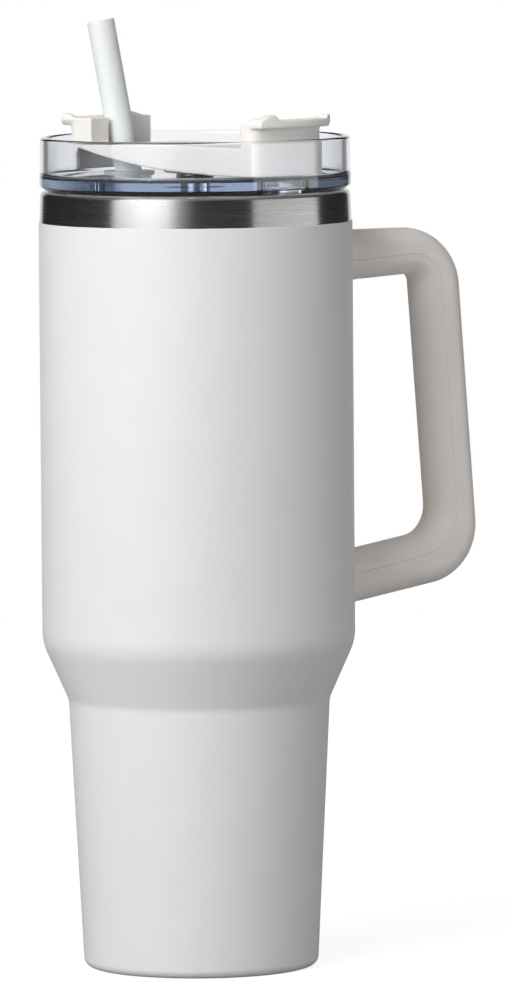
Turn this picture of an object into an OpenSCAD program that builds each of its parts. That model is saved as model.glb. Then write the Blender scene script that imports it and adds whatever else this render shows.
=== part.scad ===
// Insulated tumbler: a double-wall steel cup with a side handle, a clear press-in lid,
// a rotating cover on the lid and a drinking straw.
// Millimetres. +Z is up, +X points to the handle, the origin is the centre of the base.

/* [Cup] */
// Outside radius of the wide section, over the coating
cup_r = 50; // [46:0.5:56]
// Height of the shoulder above the floor
shoulder_z = 104.4; // [95:0.5:120]
// Height where the taper ends and the cone to the shoulder starts
neck_z = 85.9; // [70:0.5:90]
// Outside radius at the neck
neck_r = 41.75; // [38:0.25:44]
// Outside radius at the floor
base_r = 37.45; // [34:0.25:38]
// Height of the bare steel rim
rim_z = 248; // [230:1:270]
// Height of the bare steel band under the lid
band_h = 9.4; // [6:0.2:16]
// Sheet thickness of both steel walls
sheet_t = 0.6; // [0.4:0.1:1]
// Distance between the outside of the cup and the inside of its liner
wall_gap = 4.4; // [3.6:0.1:6]

/* [Lid] */
// Outside radius of the lid's flange
lid_r = 49.65; // [48:0.05:50]
// Height of the clear ring wall above the steel rim
lid_h = 17.6; // [14:0.2:24]
// Thickness of the clear ring wall
lid_wall = 2.3; // [1.8:0.1:3]
// Depth of the plug below the steel rim
plug_h = 12; // [10:0.5:20]

/* [Cover] */
// Direction of the cover's straw end, counter-clockwise from the handle
cover_angle = 105; // [90:1:120]
// Width of the cover's band
cover_w = 31.5; // [28:0.5:34]
// Radius of the cover's end faces
cover_r = 44.2; // [43:0.1:45]
// Height of the thumb tab over the drinking opening
tab_top_sip = 271.8; // [270:0.1:274]
// Height of the thumb tab behind the straw
tab_top_straw = 271.1; // [270:0.1:274]

/* [Straw] */
// Outside radius of the straw
straw_r = 4.4; // [3.5:0.1:4.6]
// Wall of the straw
straw_wall = 0.8; // [0.6:0.1:1]
// Lean of the straw from vertical
straw_lean = 9.9; // [8:0.1:10.5]
// Length of the straw
straw_len = 298; // [290:1:300]

/* [Handle] */
// Width of the handle across the grip
grip_w = 16; // [14:0.5:20]
// Wall of the two handle shells
grip_wall = 2.4; // [2:0.1:2.8]
// Reach of the grip from the cup's axis at its lower corner
grip_reach = 102.6; // [100:0.2:108]

/* [Hidden] */
fine = 96;
overlap = 0.01;
through = 1; // how far a cut runs past what it cuts
CREAM = [0.93, 0.91, 0.88];
STEEL = [0.72, 0.72, 0.73];
CLEAR = [0.75, 0.82, 0.92, 0.45];
SILICONE = [0.88, 0.88, 0.88];
WARM = [0.8, 0.77, 0.74];

// cup
coat_t = 0.25;
coat_top = rim_z - band_h;
coat_low = 0.5;
coat_gap = 0.1;
rim_roll = [0.4, 0.6];
stand_r = base_r - 4.4;
base_fillet = 3;
neck_fillet = 7;
shoulder_fillet = 17;
shell_r = cup_r - coat_t;
rim_r = shell_r - 0.35;
weld_r = rim_r - sheet_t;
liner_floor_z = 7;
liner_r = cup_r - wall_gap;
liner_fillet = 6;
liner_ease = 4;
liner_lean = 0.35;
liner_lift = 1.8;
liner_flare = [0.8, 1.2];
foil_t = 0.15;
foil_low = shoulder_z + 12;
foil_top = coat_top - 4;
base_recess = 2.4;
cap_r = stand_r - 1.2;
cap_base_t = 1.2;
plug_hole_r = 1;
bead_r = 3;
bead_t = 0.6;
cap_bevel = 0.45;
getter_x = 15;
getter_r = 6;
getter_t = 1.6;

// handle outline, in the plane of the handle: x outwards, z up
top_z = 234;
top_in_z = 217.3;
low_z = 112.6;
low_in_z = 130;
bar_rise = 0.165;
top_in_rise = 0.06;
top_in_x = 30;
low_in_x = 35;
low_in_shift = 0.6;
top_in_drop = 16;
splay = 0.0743;
reach_z = 136;
grip_t = 16.6;
end_r = cup_r + 0.05;
corner_steps = 8;
crown_out = 6.5;
crown_in = 4.2;
crown_in_back = 2.8;
part_line = 6.8;
crown_steps = 10;
bracket_w = 8;
bracket_len = 13;
bracket_root = 3;
bracket_h = 6.6;
upper_z = 226.1;
lower_z = 122.3;
screw_x = 58.5;
screw_r = 1.5;
screw_head_r = 2.7;
screw_head_h = 1.5;
screw_len = 11;
screw_gap = 0.05;
screw_way = 4;
screw_z_top = top_in_z + 0.9;
screw_z_low = low_in_z + 0.5;

// lid
floor_z = rim_z + 4.7;
floor_t = 2.5;
flange_z = rim_z + 0.5;
flange_top = rim_z + 5.8;
flange_chamfer = 2.2;
chamfer_rise = 1.6;
ring_r = lid_r - 0.2;
lid_top = rim_z + lid_h;
ring_in = ring_r - lid_wall;
ring_draft = 0.15;
ring_edge = 0.7;
lid_edge = 0.6;
floor_slope = 1.6;
plug_r = liner_r - 1;
plug_wall = 2.4;
plug_z = rim_z - plug_h;
groove_z = plug_z + 3.4;
groove_h = 4.6;
groove_d = 1.2;
boss_r = 6;
boss_low = floor_z - 7.6;
boss_top = floor_z + 1;
pivot_r = 3;
pivot_gap = 0.05;
oring_pocket_r = 5.1;
oring_r = 0.85;
oring_mid_r = 4.05;
oring_pocket_h = 1.7;
oring_drop = 0.8;
sip_angle = cover_angle + 180;
sip_mid_r = 34;
sip_r = 4.5;
sip_half = 4;
seal_r = 7;
seal_flange_r = 8.2;
seal_flange_t = 0.6;
seal_gap = 0.08;
seal_way = 20;
lip_r = liner_r - 0.15;
lip_foot = 0.2;
lip_heights = [1.2, 1.8, 2.8, 3.6]; // two lips, above the groove

// straw: its axis crosses the lid's floor at straw_x, straw_y
straw_x = -7.62;
straw_y = 29.8;
straw_turn = 139.2;
straw_above = 50;

// cover
cover_low = floor_z + 1.2;
cover_top = floor_z + 10.4;
cover_wall = 2.2;
cover_roof = 2.2;
cover_corner = 4;
corner_parts = 4;
end_parts = 10;
block_top = tab_top_sip - 2.5;
straw_block_top = tab_top_straw;
notch_r = 7;
notch_u = 31.9;
notch_v = 0.3;
above_all = tab_top_sip + 10;
slot_out_r = notch_u + notch_r;
slot_in_r = notch_u - notch_r;
straw_block_u = 31.3;
sip_block_u = 35.4;
tab_r = 47.7;
tab_in_r = 38.9;
tab_under = 2.5;
hub_r = 10;
cap_pocket_r = 7.6;
cap_t = 0.7;
cap_gap = 0.05;
cap_edge = 1.5;
cap_crown = [0.4, 0.6];
head_r = 5.5;
head_h = 1.5;
nut_h = 3;
washer_t = 0.8;
washer_r = boss_r - 0.2;
run_gap = 0.1;
nut_top = boss_low - run_gap - washer_t;
screw_low = nut_top - nut_h - 1;
pad_edge = 2.4;
pad_top = cover_low + 0.9;
pad_plate_t = 1.8;
pad_plate_len = 22.2;
stem_h = 2.5;
stem_r = 2;
stem_gap = 0.6;
arch_high = 7.2;
arch_start = -39.8;
arch_end = 38.2;
arch_power = 2.6;
arch_post = 39.4;
arch_deep = cover_w * 0.58;
arch_steps = 10;
arch_end_z = cover_low + 0.6 * arch_high;
hump_steps = 6;
hump_start = 0.4;
hump_len = 4.4;
hump_h = 2;
hump_end = hump_start + hump_len - cover_w / 2;
hump_round = 0.8;
hump_fall = 0.4;
hump_run = 2.2;
lip_h = 1.4;
lip_at = 12.9;
lip_end = 16;
lip_run = 1.2;
lip_lean = 0.5;
lip_drop = 0.8;
tab_span = 5;
tab_slope = atan(hump_h / (cover_r - tab_in_r));

// ---- helpers -------------------------------------------------------------------------------

function unit(v) = v / norm(v);
function left_of(v) = [-v[1], v[0]];
function rev(p) = [for (i = [len(p) - 1 : -1 : 0]) p[i]];
function mix(a, b, t) = a + (b - a) * t;

// Points of an outline whose corner i is rounded to radius radii[i]; the ends stay sharp.
function corner_arc(a, b, c, r, steps) =
    let (u = unit(a - b), v = unit(c - b), half = acos(u * v) / 2, back = r / tan(half),
        mid = b + unit(u + v) * (r / sin(half)), from = b + u * back - mid,
        side = cross(u, v) > 0 ? -1 : 1, sweep = 180 - 2 * half)
    [for (k = [0 : steps]) let (q = side * sweep * k / steps)
        mid + [from[0] * cos(q) - from[1] * sin(q), from[0] * sin(q) + from[1] * cos(q)]];
function rounded(p, radii, steps = 8) = [for (i = [0 : len(p) - 1])
    each (i == 0 || i == len(p) - 1 || radii[i] == 0) ? [p[i]]
        : corner_arc(p[i - 1], p[i], p[i + 1], radii[i], steps)];

// Corner points of a line moved d to its left.
function moved_corner(a, b, c, d) =
    let (u = unit(b - a), v = unit(c - b), n = left_of(u), m = left_of(v))
    b + (n + m) * (d / (1 + n * m));
function moved(p, d) = [for (i = [0 : len(p) - 1])
    i == 0 ? p[0] + left_of(unit(p[1] - p[0])) * d
    : i == len(p) - 1 ? p[i] + left_of(unit(p[i] - p[i - 1])) * d
    : moved_corner(p[i - 1], p[i], p[i + 1], d)];

module revolve(points) { rotate_extrude($fn = fine) polygon(points); }
module tube(r_out, r_in, z0, z1) {
    translate([0, 0, z0]) difference() {
        cylinder(r = r_out, h = z1 - z0, $fn = fine);
        translate([0, 0, -through]) cylinder(r = r_in, h = z1 - z0 + 2 * through, $fn = fine);
    }
}
module disc(r, z0, z1) { translate([0, 0, z0]) cylinder(r = r, h = z1 - z0, $fn = fine); }
module along_straw(z) {
    translate([straw_x, straw_y, floor_z]) rotate([0, 0, straw_turn]) rotate([0, straw_lean, 0])
        translate([0, 0, z]) children();
}
module in_cover() { rotate([0, 0, cover_angle]) children(); }

// ---- cup -----------------------------------------------------------------------------------

cup_radii = [0, base_fillet, neck_fillet, shoulder_fillet, 0];
function cup_corners(d) = [[stand_r, 0], [base_r - d, 0], [neck_r - d, neck_z],
    [cup_r - d, shoulder_z], [cup_r - d, coat_top]];
function shell_corners() = concat(cup_corners(coat_t),
    [[rim_r, rim_z - rim_roll[1]], [rim_r - rim_roll[0], rim_z]]);
shell_radii = [0, base_fillet, neck_fillet, shoulder_fillet, 0, 0, 0];
inner_radii = [0, base_fillet - sheet_t, neck_fillet + sheet_t, shoulder_fillet - sheet_t, 0, 0];

module outer_shell() {
    face = rounded(shell_corners(), shell_radii);
    back = rounded(concat(moved(cup_corners(coat_t), sheet_t), [[weld_r, rim_z]]), inner_radii);
    color(STEEL) revolve(concat(face, rev(back)));
}
module powder_coat() {
    face = rounded(cup_corners(0), cup_radii);
    back = rounded(cup_corners(coat_t), cup_radii);
    color(CREAM) difference() {
        revolve(concat(face, rev(back)));
        disc(cup_r, -through, coat_low);
        for (z = [upper_z, lower_z]) bracket_foot(z, coat_gap);
    }
}
function liner_corners() = [[0, liner_floor_z], [base_r - wall_gap + liner_lean, liner_floor_z],
    [neck_r - wall_gap, neck_z + liner_lift], [liner_r, shoulder_z + liner_lift],
    [liner_r, rim_z - liner_flare[1]], [liner_r + liner_flare[0], rim_z]];
module inner_liner() {
    // The liner's back is its face moved one sheet outwards; its flange is welded to the shell.
    corners = liner_corners();
    neck_bend = neck_fillet + liner_ease;
    shoulder_bend = shoulder_fillet - liner_ease;
    face = rounded(corners, [0, liner_fillet, neck_bend, shoulder_bend, 0, 0]);
    back = rounded(concat(moved([for (i = [0 : len(corners) - 2]) corners[i]], -sheet_t),
        [[liner_r + sheet_t, rim_z - sheet_t - rim_roll[0]]]),
        [0, liner_fillet + sheet_t, neck_bend - sheet_t, shoulder_bend + sheet_t, 0, 0]);
    color(STEEL) revolve(concat(face, [[weld_r, rim_z], [weld_r, rim_z - sheet_t]], rev(back)));
}
module foil_shield() {
    color([0.85, 0.6, 0.45]) tube(liner_r + sheet_t + foil_t, liner_r + sheet_t,
        foil_low, foil_top);
}
module base_plate() {
    color(STEEL) difference() {
        union() {
            tube(stand_r, stand_r - sheet_t, 0, base_recess);
            disc(stand_r, base_recess, base_recess + sheet_t);
        }
        disc(plug_hole_r, -through, base_recess + sheet_t + through);
    }
}
module vacuum_plug() {
    color([0.55, 0.55, 0.5]) union() {
        disc(plug_hole_r, base_recess - overlap, base_recess + sheet_t);
        disc(bead_r, base_recess - bead_t, base_recess);
    }
}
module base_cap() {
    color(STEEL) revolve([[0, 0], [cap_r - cap_bevel, 0], [cap_r, cap_bevel],
        [cap_r, cap_base_t], [0, cap_base_t]]);
}
module getter() {
    color([0.35, 0.35, 0.35]) translate([getter_x, 0, 0])
        disc(getter_r, base_recess + sheet_t, base_recess + sheet_t + getter_t);
}

// ---- handle --------------------------------------------------------------------------------

// Outer and inner edge of the handle, walked from the cup over the top, down the grip and back.
out_corners = [[0, top_z], [grip_reach - splay * (top_z - reach_z), top_z],
    [grip_reach + splay * (reach_z - low_corner_z()), low_corner_z()], [0, low_z - bar_rise * end_r]];
in_corners = [[0, top_in_z - top_in_rise * end_r],
    [grip_reach - grip_t - splay * (top_z - reach_z - top_in_drop), top_in_z + top_in_rise * top_in_x],
    [grip_reach - grip_t + low_in_shift, low_in_z + bar_rise * low_in_x],
    [0, low_in_z - bar_rise * end_r]];
function low_corner_z() = low_z + bar_rise * (grip_reach - end_r);
out_radii = [0, 20, 19, 0];
in_radii = [0, 3, 9.5, 0];
function bend(p, radii) = [each corner_arc(p[0], p[1], p[2], radii[1], corner_steps),
    each corner_arc(p[1], p[2], p[3], radii[2], corner_steps)];
out_path = bend(out_corners, out_radii);
in_path = bend(in_corners, in_radii);
function at_x(a, b, x) = mix(a, b, (x - a[0]) / (b[0] - a[0]));

// One ring of a shell: each section entry is [s, d, from_inside]; s is across the handle and
// d is the depth from the outer edge, or from the inner edge where from_inside is 1.
function section_point(o, i, e) = let (w = unit(i - o), p = e[2] == 1 ? i - w * e[1] : o + w * e[1])
    [p[0], e[0], p[1]];
function ring(o, i, sec) = [for (e = sec) section_point(o, i, e)];
function on_cup(pts) = [for (p = pts) [sqrt(end_r * end_r - p[1] * p[1]), p[1], p[2]]];
function handle_rings(sec) =
    let (n = len(out_path) - 1, o0 = at_x(out_corners[0], out_path[0], end_r),
        i0 = at_x(in_corners[0], in_path[0], end_r),
        o1 = at_x(out_path[n], out_corners[3], end_r), i1 = at_x(in_path[n], in_corners[3], end_r))
    concat([on_cup(ring(o0, i0, sec))], [for (k = [0 : n]) ring(out_path[k], in_path[k], sec)],
        [on_cup(ring(o1, i1, sec))]);
// A channel: the first half of each ring is its outside, the second half its inside.
module channel(sec) {
    rings = handle_rings(sec);
    m = len(sec);
    k = m / 2;
    n = len(rings);
    function quad(a, b, c, d) = [[a, b, c], [a, c, d]];
    sides = [for (r = [0 : n - 2], j = [0 : m - 1]) let (a = r * m + j, b = r * m + (j + 1) % m)
        each quad(a, b, b + m, a + m)];
    ends = [for (j = [0 : k - 2]) each quad(j, m - 1 - j, m - 2 - j, j + 1)];
    far = [for (f = ends) [for (q = rev(f)) q + (n - 1) * m]];
    polyhedron(points = [for (r = rings) each r], faces = concat(sides, ends, far), convexity = 6);
}
half_w = grip_w / 2;
function cover_arc(a, b) = [for (k = [0 : crown_steps]) let (q = -90 + 180 * k / crown_steps)
    [b * sin(q), crown_out - a * cos(q), 0]];
function core_arc(w, sag, lift) = let (r = (w * w + sag * sag) / (2 * sag), q = asin(w / r))
    [for (k = [0 : crown_steps]) let (t = -q + 2 * q * k / crown_steps)
        [r * sin(t), lift + r - r * cos(t), 1]];
cover_section = concat([[-half_w, part_line, 1]], cover_arc(crown_out, half_w), [[half_w, part_line, 1]],
    [[half_w - grip_wall, part_line, 1]], rev(cover_arc(crown_out - grip_wall, half_w - grip_wall)),
    [[grip_wall - half_w, part_line, 1]]);
core_section = concat([[half_w, part_line, 1]], rev(core_arc(half_w, crown_in, 0)),
    [[-half_w, part_line, 1]], [[grip_wall - half_w, part_line, 1]],
    core_arc(half_w - grip_wall, crown_in_back, grip_wall), [[half_w - grip_wall, part_line, 1]]);

module bracket_foot(z, extra) {
    translate([cup_r - bracket_root, -bracket_w / 2 - extra, z - bracket_h / 2 - extra])
        cube([bracket_len + bracket_root, bracket_w + 2 * extra, bracket_h + 2 * extra]);
}
module bracket(z) {
    color(STEEL) difference() {
        bracket_foot(z, 0);
        disc(shell_r, z - bracket_h, z + bracket_h);
        translate([screw_x, 0, z - bracket_h])
            cylinder(r = screw_r + screw_gap, h = 2 * bracket_h, $fn = fine);
    }
}
module upper_bracket() { bracket(upper_z); }
module lower_bracket() { bracket(lower_z); }
// A round-headed screw whose head starts at the origin and whose shank runs up.
module screw(extra) {
    cylinder(r = screw_head_r + extra, h = screw_head_h, $fn = fine);
    cylinder(r = screw_r + extra, h = screw_len, $fn = fine);
}
module both_screws(extra) {
    translate([screw_x, 0, screw_z_top]) screw(extra);
    translate([screw_x, 0, screw_z_low]) mirror([0, 0, 1]) screw(extra);
}
module handle_screws() { color(STEEL) both_screws(0); }
module handle_core() {
    color(WARM) difference() {
        channel(core_section);
        both_screws(screw_gap);
        for (z = [screw_z_top - screw_way, screw_z_low]) translate([screw_x, 0, z])
            cylinder(r = screw_head_r + screw_gap, h = screw_way, $fn = fine);
    }
}
module handle_cover() { color(WARM) channel(cover_section); }

// ---- lid -----------------------------------------------------------------------------------

module lid_base() {
    groove_top = groove_z + groove_h;
    profile = [[0, floor_z - floor_t], [plug_r - plug_wall - lid_edge, floor_z - floor_t],
        [plug_r - plug_wall, floor_z - floor_t - lid_edge], [plug_r - plug_wall, plug_z],
        [plug_r - lid_edge, plug_z], [plug_r, plug_z + lid_edge], [plug_r, groove_z],
        [plug_r - groove_d, groove_z], [plug_r - groove_d, groove_top], [plug_r, groove_top],
        [plug_r, flange_z], [lid_r - flange_chamfer, flange_z], [lid_r, flange_z + chamfer_rise],
        [lid_r, flange_top], [ring_in, flange_top], [ring_in - floor_slope, floor_z], [0, floor_z]];
    color(CLEAR) difference() {
        union() {
            revolve(profile);
            disc(boss_r, boss_low, boss_top);
        }
        disc(pivot_r + pivot_gap, boss_low - through, boss_top + through);
        disc(oring_pocket_r, boss_top - oring_pocket_h, boss_top + through);
        sip_slot(sip_r, floor_z - floor_t - through, floor_z + through);
        seal_post(seal_r, floor_z - floor_t - through, floor_z + through);
    }
}
module sip_slot(r, z0, z1) {
    rotate([0, 0, sip_angle]) translate([sip_mid_r, 0, 0]) {
        for (s = [-1, 1]) translate([0, s * sip_half, 0]) disc(r, z0, z1);
        translate([-r, -sip_half, z0]) cube([2 * r, 2 * sip_half, z1 - z0]);
    }
}
seal_shift = floor_t / 2 * tan(straw_lean);
module seal_post(r, z0, z1) {
    translate([straw_x - seal_shift * cos(straw_turn), straw_y - seal_shift * sin(straw_turn), 0])
        disc(r, z0, z1);
}
module straw_seal() {
    color(SILICONE) difference() {
        union() {
            seal_post(seal_r, floor_z - floor_t, floor_z);
            seal_post(seal_flange_r, floor_z, floor_z + seal_flange_t);
            seal_post(seal_flange_r, floor_z - floor_t - seal_flange_t, floor_z - floor_t);
        }
        along_straw(-seal_way) cylinder(r = straw_r + seal_gap, h = 2 * seal_way, $fn = fine);
    }
}
module lid_ring() {
    color(CLEAR) revolve([[ring_in, flange_top], [ring_r, flange_top],
        [ring_r - ring_draft, lid_top - ring_edge], [ring_r - ring_edge, lid_top],
        [ring_in + ring_edge, lid_top], [ring_in, lid_top - ring_edge]]);
}
module lid_gasket() {
    // Two soft lips stand out of the groove and close on the liner.
    back = plug_r - groove_d;
    z = [for (h = lip_heights) groove_z + h];
    color(SILICONE) revolve([[back, groove_z], [plug_r - lip_foot, groove_z], [lip_r, z[0]],
        [plug_r, z[1]], [plug_r, z[2]], [lip_r, z[3]],
        [plug_r - lip_foot, groove_z + groove_h], [back, groove_z + groove_h]]);
}
module pivot_oring() {
    color([0.2, 0.2, 0.2]) translate([0, 0, boss_top - oring_drop])
        rotate_extrude($fn = fine) translate([oring_mid_r, 0]) circle(r = oring_r, $fn = fine / 3);
}

// ---- cover, drawn with its straw end towards +X and turned into place -----------------------

// Outline of the band: straight sides, round ends and rounded corners, moved in by d.
function band_end(d, side) =
    let (h = cover_w / 2 - d, r = cover_r - d, c = cover_corner - d,
        u = sqrt((r - c) * (r - c) - (h - c) * (h - c)), q = atan2(h - c, u))
    [for (k = [0 : corner_parts]) let (a = -90 + (90 - q) * k / corner_parts)
            side * [u + c * cos(a), c - h + c * sin(a)],
        for (k = [1 : end_parts - 1]) let (a = -q + 2 * q * k / end_parts)
            side * [r * cos(a), r * sin(a)],
        for (k = [0 : corner_parts]) let (a = q + (90 - q) * k / corner_parts)
            side * [u + c * cos(a), h - c + c * sin(a)]];
module band(d, z0, z1) {
    translate([0, 0, z0]) linear_extrude(z1 - z0) polygon(concat(band_end(d, 1), band_end(d, -1)));
}
// Block at the end of the band, from start_u outwards and up to its thumb tab.
module end_block(start_u, top) {
    intersection() {
        band(0, cover_top - cover_roof, top);
        translate([start_u, -cover_w, 0]) cube([cover_w, 2 * cover_w, above_all]);
    }
}
// The half of the cover on the side that the straw's way is open to.
module open_side(z0, z1) {
    translate([0, -cover_w, z0]) cube([slot_out_r, cover_w + notch_v, z1 - z0]);
}
// The way of the straw as the cover turns: open on one side of the band, round at the straw.
module straw_way(z0, z1) {
    difference() {
        intersection() {
            disc(slot_out_r, z0, z1);
            open_side(z0, z1);
        }
        disc(slot_in_r, z0 - through, z1 + through);
    }
    translate([notch_u, notch_v, 0]) disc(notch_r, z0, z1);
}
// Room inside each block, over the band's roof.
module block_way() {
    intersection() {
        disc(tab_in_r, cover_top, above_all);
        open_side(cover_top, above_all);
    }
    translate([notch_u, notch_v, 0]) disc(notch_r, cover_top, above_all);
}
// Thumb tab: a plate that overhangs the end face, with a hump at one side and a lip at the other.
// Both rise from the tab's inner edge to its outer one.
function tab_profile(z) = concat(
    [[-cover_w / 2, z - tab_under], [-cover_w / 2, z - hump_start]],
    [for (k = [0 : hump_steps]) let (t = k / hump_steps)
        [-cover_w / 2 + hump_start + hump_len * t, z + hump_h * sin(90 * t)]],
    [[hump_end + hump_round, z + hump_h - hump_fall], [hump_end + hump_run, z], [lip_at, z],
        [lip_at + lip_run, z + lip_h], [lip_end - lip_lean, z + lip_h],
        [lip_end, z - lip_drop], [lip_end - lip_run, z - tab_under]]);
module tab(z) {
    intersection() {
        rotate([90, 0, 90]) linear_extrude(tab_r) polygon(tab_profile(z));
        difference() {
            disc(tab_r, z - tab_span, z + tab_span);
            disc(tab_in_r, z - tab_span - through, z + tab_span + through);
        }
        translate([tab_in_r, -cover_w, z]) rotate([0, -tab_slope, 0])
            translate([-tab_r, 0, -2 * tab_span]) cube([2 * tab_r, 2 * cover_w, 2 * tab_span]);
    }
}
// Opening under one side wall: a long arch that rises towards the far end.
module arch_cut() {
    curve = [for (k = [0 : arch_steps]) let (t = k / arch_steps, u = mix(arch_start, arch_end, t))
        [u, cover_low + arch_high * pow(t, arch_power)]];
    outline = concat([[arch_start, cover_low - through]], curve,
        [[arch_post, arch_end_z], [arch_post, cover_low - through]]);
    translate([0, cover_w, 0]) rotate([90, 0, 0]) linear_extrude(arch_deep) polygon(outline);
}
module cover_body() {
    roof = cover_top - cover_roof;
    color(CREAM) in_cover() difference() {
        union() {
            difference() {
                band(0, cover_low, cover_top);
                band(cover_wall, cover_low - through, roof);
                for (a = [0, 180]) rotate([0, 0, a]) arch_cut();
            }
            disc(hub_r, cover_low - run_gap, roof + overlap);
            intersection() {
                band(cover_wall / 2, pad_top, pad_top + pad_plate_t);
                translate([-cover_r, -cover_w, 0]) cube([pad_plate_len, 2 * cover_w, above_all]);
            }
            end_block(straw_block_u, straw_block_top);
            rotate([0, 0, 180]) end_block(sip_block_u, block_top);
            tab(tab_top_straw);
            rotate([0, 0, 180]) tab(tab_top_sip);
        }
        straw_way(cover_low - through, cover_top + overlap);
        block_way();
        rotate([0, 0, 180]) block_way();
        disc(pivot_r, cover_low - through, cover_top + through);
        disc(head_r + run_gap, roof, cover_top + through);
        disc(cap_pocket_r, cover_top - cap_t, cover_top + through);
        translate([-sip_mid_r, 0, 0]) disc(stem_r, cover_low, pad_top + stem_h + stem_gap);
    }
}
module cover_cap() {
    r = cap_pocket_r - cap_gap;
    under = cover_top - cap_t + cap_gap;
    color(CREAM) revolve([[0, under], [r, under], [r, cover_top],
        [r - cap_edge, cover_top + cap_crown[0]], [0, cover_top + cap_crown[1]]]);
}
module sip_pad() {
    z0 = floor_z + run_gap;
    color(SILICONE) union() {
        sip_slot(sip_r + pad_edge, z0, pad_top);
        in_cover() translate([-sip_mid_r, 0, 0]) disc(stem_r, pad_top, pad_top + stem_h);
    }
}
module pivot_screw() {
    roof = cover_top - cover_roof;
    color(STEEL) union() {
        disc(pivot_r, screw_low, roof);
        disc(head_r, roof, roof + head_h);
    }
}
module pivot_washer() {
    color(STEEL) tube(washer_r, pivot_r, nut_top, nut_top + washer_t);
}
module pivot_nut() {
    color(STEEL) difference() {
        translate([0, 0, nut_top - nut_h]) cylinder(r = head_r, h = nut_h, $fn = 6);
        disc(pivot_r, nut_top - nut_h - through, nut_top + through);
    }
}

// ---- straw ---------------------------------------------------------------------------------

module straw_tube() {
    color([0.93, 0.94, 0.95, 0.8]) along_straw(straw_above - straw_len) difference() {
        cylinder(r = straw_r, h = straw_len, $fn = fine);
        translate([0, 0, -through])
            cylinder(r = straw_r - straw_wall, h = straw_len + 2 * through, $fn = fine);
    }
}

outer_shell();
powder_coat();
inner_liner();
foil_shield();
base_plate();
base_cap();
vacuum_plug();
getter();
upper_bracket();
lower_bracket();
handle_core();
handle_cover();
handle_screws();
lid_base();
lid_ring();
lid_gasket();
straw_seal();
pivot_oring();
cover_body();
cover_cap();
sip_pad();
pivot_screw();
pivot_washer();
pivot_nut();
straw_tube();
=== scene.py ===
# %% [markdown]
# # An insulated tumbler with a clear lid
#
# A tumbler of this kind is two steel cups welded at the rim with a vacuum between them. The
# outer one is powder coated but for a bare brushed band under the lid. A moulded handle is
# screwed to one side, and a clear lid carries a cover that turns, and a straw.
#
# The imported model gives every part, its place and its joints. This script keeps that frame and
# makes the surfaces: fine turned walls, a lofted handle, a clear lid and their real finishes.

import math

import bmesh
import bpy
from mathutils import Matrix, Vector


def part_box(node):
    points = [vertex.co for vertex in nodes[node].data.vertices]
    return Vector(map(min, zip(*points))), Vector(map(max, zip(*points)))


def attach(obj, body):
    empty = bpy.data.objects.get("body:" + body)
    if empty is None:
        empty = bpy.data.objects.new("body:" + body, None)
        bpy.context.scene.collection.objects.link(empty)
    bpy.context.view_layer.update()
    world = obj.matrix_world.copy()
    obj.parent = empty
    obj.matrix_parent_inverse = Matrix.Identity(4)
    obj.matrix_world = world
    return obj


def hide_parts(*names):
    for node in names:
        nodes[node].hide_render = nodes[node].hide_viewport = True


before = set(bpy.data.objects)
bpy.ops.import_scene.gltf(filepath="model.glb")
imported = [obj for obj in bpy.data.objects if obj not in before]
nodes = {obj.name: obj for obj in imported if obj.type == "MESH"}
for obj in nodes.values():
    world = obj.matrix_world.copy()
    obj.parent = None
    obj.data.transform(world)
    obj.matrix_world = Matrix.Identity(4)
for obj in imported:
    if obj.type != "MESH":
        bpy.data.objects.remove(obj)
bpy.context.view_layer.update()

# %% [markdown]
# ## Units and levels
#
# Blender works in metres and the maker's sizes are in millimetres, so one factor joins them.
# Levels that the frame already knows are read from its boxes and not typed again: the rim's
# height, the floor of the lid and the radius of each turned wall.

# %% Units and levels
MM = 0.001


def low_high(node):
    """Lowest and highest level of a node, in millimetres."""
    low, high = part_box(node)
    return low.z / MM, high.z / MM


def radius_of(node):
    """Outside radius of a turned node, in millimetres."""
    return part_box(node)[1].y / MM


cup_r = radius_of("powder_coat")
coat_top = low_high("powder_coat")[1]
rim_z = low_high("outer_shell")[1]
shell_r = radius_of("outer_shell")
lid_r = radius_of("lid_base")
lid_top = low_high("lid_ring")[1]
plug_z, flange_top = low_high("lid_base")
print(f"cup {2 * cup_r:.1f} mm across, rim at {rim_z:.1f} mm, lid's top at {lid_top:.1f} mm")

# %% [markdown]
# ## Camera
#
# A long lens from three metres keeps the cup's sides nearly parallel. The camera stands a little
# above the lid, turned thirty degrees round the cup's axis from the side that has the handle on
# its right.

# %% Camera
camera_turn = math.radians(-30)
camera_distance = 3.0
camera_height = 0.3925
aim_across = 0.0178
aim_height = 0.1492
camera_roll = math.radians(-0.434)


def in_camera_plan(across, away, up):
    """A point given across and away from the camera's side of the cup's axis."""
    return Matrix.Rotation(camera_turn, 3, "Z") @ Vector((across, away, up))


camera_data = bpy.data.cameras.new("camera")
camera_data.lens = 339.3
camera_data.sensor_width = 36
camera_data.clip_end = 50
camera = bpy.data.objects.new("camera", camera_data)
bpy.context.scene.collection.objects.link(camera)
camera.location = in_camera_plan(0, -camera_distance, camera_height)
looking = in_camera_plan(aim_across, 0, aim_height) - camera.location
level_turn = looking.to_track_quat("-Z", "Y").to_matrix().to_4x4()
camera.rotation_euler = (level_turn @ Matrix.Rotation(camera_roll, 4, "Z")).to_euler()
bpy.context.scene.camera = camera
print("camera at", [round(c, 3) for c in camera.location])

# %% [markdown]
# ## Colour and shader helpers
#
# Finish colours are written as sRGB hex values, as a paint maker gives them, and Blender's
# shaders work in linear light, so one function turns one into the other. One more adds a
# node, sets its sockets and links what feeds it, and a socket that shares its name with another
# is given by its number. Noise spends most of its time between 0.3 and 0.7, so patterns are
# spread from there.

# %% Colour and shader helpers


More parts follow.
